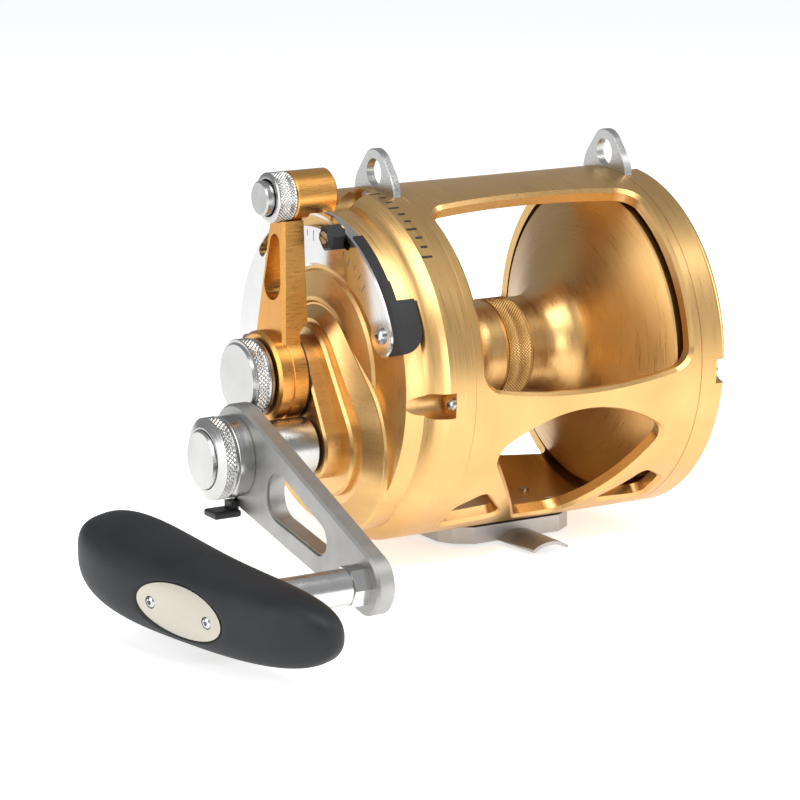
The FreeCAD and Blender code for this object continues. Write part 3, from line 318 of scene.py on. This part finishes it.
# ---- knurled knobs -----------------------------------------------------------------------
def preset_knob():
    front, back = -110.3 * mm, -102.2 * mm
    relief, columns = knurl(-109.0 * mm, -104.6 * mm, 14.5 * mm, 1.7 * mm, 0.5 * mm)
    body = [(x, 14.5 * mm) for x in steps_between(-109.0 * mm, -104.6 * mm, 0.2 * mm)]
    outline = [(front, 0.2 * mm), (front, 12.6 * mm), (front + 0.9 * mm, 13.4 * mm),
               (front + 0.9 * mm, 14.2 * mm), *body, (-104.3 * mm, 13.6 * mm),
               (-103.3 * mm, 13.6 * mm), (-103.0 * mm, 14.2 * mm), (back, 14.1 * mm),
               (back, 5.0 * mm)]
    knob = lathe("preset_knob_knurled", outline, steel_spool_axis, columns=columns, relief=relief)
    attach(knob, "preset_body")
    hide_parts("preset_knob")


def handle_cap():
    relief, columns = knurl(-130.0 * mm, -126.0 * mm, 14.9 * mm, 1.7 * mm, 0.5 * mm)
    band = [(x, 14.9 * mm) for x in steps_between(-130.0 * mm, -126.0 * mm, 0.2 * mm)]
    outline = [(-128.9 * mm, 10.7 * mm), (-131.5 * mm, 10.7 * mm), (-131.8 * mm, 10.95 * mm),
               (-131.8 * mm, 11.6 * mm), (-131.6 * mm, 11.9 * mm), (-130.4 * mm, 14.2 * mm),
               *band, (-125.6 * mm, 13.9 * mm),
               (-125.0 * mm, 13.9 * mm), (-124.6 * mm, 14.5 * mm), (-124.4 * mm, 14.7 * mm),
               (-118.7 * mm, 14.7 * mm), (-118.5 * mm, 14.5 * mm), (-118.5 * mm, 2.7 * mm),
               (-121.6 * mm, 2.7 * mm), (-121.6 * mm, 10.7 * mm)]
    cap = lathe("handle_cap_knurled", outline, steel_handle_axis, (HANDLE_Y, HANDLE_Z), columns,
                relief, closed=True)
    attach(cap, "handle_body")
    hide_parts("handle_cap")


def lever_collar():
    relief, columns = knurl(-97.3 * mm, -90.7 * mm, 9.1 * mm, 1.25 * mm, 0.4 * mm)
    band = [(x, 9.1 * mm) for x in steps_between(-97.3 * mm, -90.7 * mm, 0.2 * mm)]
    outline = [(-98.0 * mm, 6.9 * mm), (-98.0 * mm, 8.3 * mm), (-97.6 * mm, 8.9 * mm), *band,
               (-90.05 * mm, 8.5 * mm), (-90.05 * mm, 6.9 * mm)]
    ring = lathe("lever_collar_knurled", outline, steel_head_axis, (HEAD_Y, HEAD_Z), columns,
                 relief, closed=True)
    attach(ring, "lever_body")
    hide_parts("lever_collar")


def arbor_knurl():
    """Knurled band round the middle of the spool, which grips the first turns of line."""
    half = 5.0 * mm
    top = 19.0 * mm
    relief, columns = knurl(-half, half, top, 1.25 * mm, 0.45 * mm)
    band = [(x, top) for x in steps_between(-half, half, 0.2 * mm)]
    outline = [(-half, 17.9 * mm), *band, (half, 17.9 * mm)]
    # The band uses the darker knurl gold, which is painted shade for its grooves.
    ring = lathe("arbor_knurl", outline, gold_knurl_painted_shade, columns=columns, relief=relief, closed=True)
    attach(ring, "spool_body")


# ---- grip --------------------------------------------------------------------------------
GRIP_FACE_X = -190.6 * mm
GRIP_HALF = 62.0
GRIP_OFFSET = 1.4
BADGE_SEAT = (19.5, 9.0)
SEAT_DEPTH = 3.45
SEAT_BOW = 57.0
grip_place = (Matrix.Translation((GRIP_FACE_X, POST_Y, POST_Z))
              @ Matrix.Rotation(math.radians(5.1), 4, "X")
              @ Matrix.Rotation(math.radians(17.1), 4, "Z")
              @ Matrix.Rotation(math.radians(-3.5), 4, "Y"))


def grip():
    """Shaped grip: rounded sections along its length, with a dished oval seat for the badge."""
    columns = 160
    turns = np.linspace(-math.pi / 2, math.pi / 2, 141)[1:-1]
    seat_half_y, seat_half_z = BADGE_SEAT
    edge = 1.06
    edge_width = 0.05
    points = []
    for t in np.sin(turns):
        swell = max(1 - abs(t) ** 3.2, 0.0005) ** (1 / 2.4)
        half_z = (14.3 + 2.1 * t + 2.7 * t * t) * swell
        half_x = (16.0 + 4.8 * t) * swell
        middle = 18.2 + 4.8 * t + 1.8 * t * t
        y = GRIP_OFFSET + t * GRIP_HALF
        for k in range(columns):
            a = 2 * math.pi * k / columns
            c = math.cos(a)
            s = math.sin(a)
            power = 0.84 if c > 0 else 0.68
            px = middle + half_x * math.copysign(abs(c) ** power, c)
            pz = 3.5 * t * t + half_z * math.copysign(abs(s) ** power, s)
            inside = math.hypot(y / seat_half_y, pz / seat_half_z)
            if c < 0 and inside < edge:
                sunk = min(1.0, max(0.0, (edge - inside) / edge_width))
                floor_x = SEAT_DEPTH + pz * pz / SEAT_BOW
                px += sunk * max(0.0, floor_x - px)
            points.append(grip_place @ Vector((px * mm, y * mm, pz * mm)))
    rows = len(turns)
    faces = ring_faces(rows, columns)
    faces.append(tuple(range(columns))[::-1])
    faces.append(tuple(range((rows - 1) * columns, rows * columns)))
    piece = new_piece("grip_shaped", points, faces, grip_rubber, 80)
    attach(piece, "grip_body")
    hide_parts("grip")


# ---- dial marks --------------------------------------------------------------------------
MARK_DEPTH = 0.15


def strip_marks(name, strips, inward, material):
    """Thin closed marks, each from four (x, radius, angle) corners, sunk a little inward."""
    points = []
    faces = []
    for strip in strips:
        first = len(points)
        for sunk in (0.0, MARK_DEPTH):
            for x, radius, degrees in strip:
                a = math.radians(degrees)
                r = (radius - sunk * inward[1]) * mm
                points.append(((x + sunk * inward[0]) * mm, -r * math.sin(a),
                               AXIS_Z + r * math.cos(a)))
        for face in ((0, 1, 2, 3), (7, 6, 5, 4), (0, 4, 5, 1), (1, 5, 6, 2), (2, 6, 7, 3),
                     (3, 7, 4, 0)):
            faces.append(tuple(first + k for k in face))
    piece = new_piece(name, points, faces, material)
    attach(piece, "reel_body")


def bowl_marks():
    """Even generic ticks inked round the rim of the handle-side plate, every third one longer."""
    radius = 65.04
    near = -55.4
    half = 0.45
    strips = []
    for k in range(10):
        angle = 8.0 + 4.0 * k
        far = -59.6 if k % 3 == 0 else -58.2
        strips.append([(far, radius, angle - half), (near, radius, angle - half),
                       (near, radius, angle + half), (far, radius, angle + half)])
    strip_marks("bowl_scale", strips, (0, 1), ink)


def quadrant_marks():
    """Graduations on the quadrant's face, inside the stop's slot, every third one longer."""
    face_x = -77.52
    top = 51.4
    half = 0.22
    strips = []
    for k in range(19):
        angle = -46.0 + 5.0 * k
        low = 47.6 if k % 3 == 0 else 49.2
        strips.append([(face_x, low, angle - half), (face_x, top, angle - half),
                       (face_x, top, angle + half), (face_x, low, angle + half)])
    strip_marks("quadrant_scale", strips, (1, 0), etched)


bowl_marks()
quadrant_marks()
preset_knob()
handle_cap()
lever_collar()
arbor_knurl()
grip()


# ---- stage -------------------------------------------------------------------------------
def floor():
    mesh = bpy.data.meshes.new("floor")
    half = 6.0
    level = -1.5 * mm
    mesh.from_pydata([(-half, -half, level), (half, -half, level), (half, half, level),
                      (-half, half, level)], [], [(0, 1, 2, 3)])
    plane = bpy.data.objects.new("floor", mesh)
    bpy.context.scene.collection.objects.link(plane)
    m = Nodes("floor_paper")
    m.set(Base_Color=(0.93, 0.93, 0.93, 1), Roughness=0.9, Emission_Color=(1, 1, 1, 1),
          Emission_Strength=0.55)
    mesh.materials.append(m.material)


def area_light(name, place, target, size, power, colour=(1, 1, 1)):
    data = bpy.data.lights.new(name, "AREA")
    data.shape = "RECTANGLE"
    data.size, data.size_y = size
    data.energy = power
    data.color = colour
    lamp = bpy.data.objects.new(name, data)
    lamp.location = place
    aim = Vector(target) - Vector(place)
    lamp.rotation_mode = "QUATERNION"
    lamp.rotation_quaternion = aim.to_track_quat("-Z", "Y")
    bpy.context.scene.collection.objects.link(lamp)


def studio():
    world = bpy.data.worlds.new("studio")
    world.use_nodes = True
    back = world.node_tree.nodes["Background"]
    back.inputs["Color"].default_value = (0.9, 0.92, 0.95, 1)
    back.inputs["Strength"].default_value = 0.42
    bpy.context.scene.world = world
    bpy.context.scene.view_settings.view_transform = "Standard"
    target = (0, 0, AXIS_Z)
    area_light("key_overhead", (-0.15, -0.45, 0.95), target, (0.9, 0.7), 10)
    area_light("left_side", (-1.1, -0.1, 0.45), target, (0.7, 0.9), 6)
    area_light("front_low", (-0.1, -1.2, 0.25), target, (0.5, 0.5), 3)
    area_light("right_strip", (0.9, -0.5, 0.5), target, (0.3, 0.9), 5)


def camera():
    data = bpy.data.cameras.new("camera")
    data.sensor_width = 36
    data.lens = 152.2
    data.clip_start = 0.01
    eye = bpy.data.objects.new("camera", data)
    right = Vector((0.8545, -0.5195, 0.0))
    up = Vector((0.1117, 0.1836, 0.9766))
    back = Vector((-0.5074, -0.8345, 0.2149))
    place = Matrix((right, up, back)).transposed().to_4x4()
    place.translation = (-678.7 * mm, -1048.2 * mm, 254.5 * mm + AXIS_Z)
    eye.matrix_world = place
    bpy.context.scene.collection.objects.link(eye)
    bpy.context.scene.camera = eye


floor()
studio()
camera()
